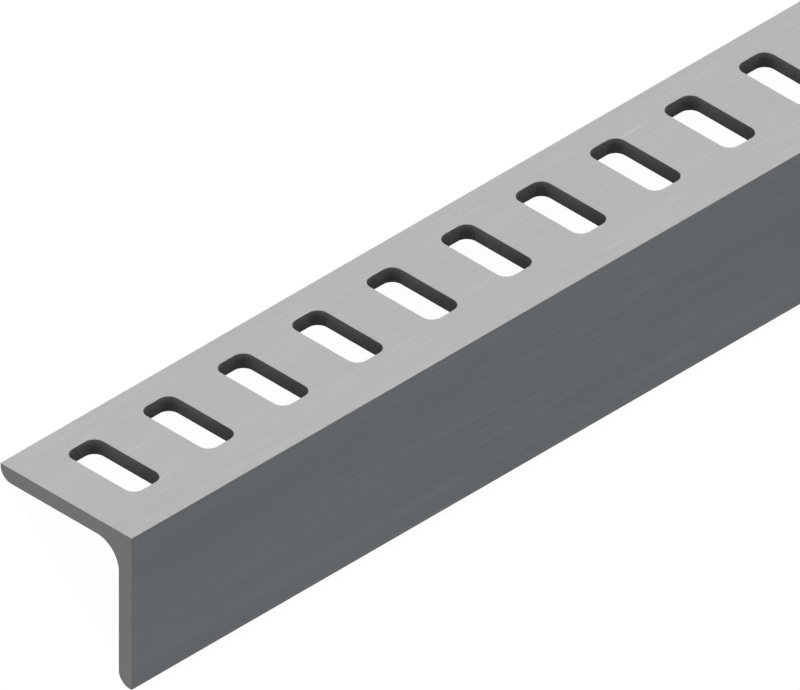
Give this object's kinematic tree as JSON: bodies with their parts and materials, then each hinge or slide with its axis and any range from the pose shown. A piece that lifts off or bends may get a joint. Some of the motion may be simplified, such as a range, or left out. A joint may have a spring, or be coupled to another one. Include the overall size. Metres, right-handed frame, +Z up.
{
  "type": "slotted steel angle",
  "caption": "Straight equal-leg rolled steel angle with a sharp heel and rounded root and toes, one leg plain and the other with a row of rounded slots lying across it.",
  "frame": {"origin": "on the floor under the heel, halfway along the length, with the profile resting on its two toes", "axes": "+X along the profile, towards the end where the slot row starts; +Z up through the heel; the slotted leg slopes down towards -Y and the plain leg towards +Y"},
  "size_m": [1, 0.0424, 0.0223],
  "materials": {
    "steel": "matte mill finish, unpainted"
  },
  "bodies": {
    "root": {"angle_profile": "steel"}
  },
  "joints": []
}
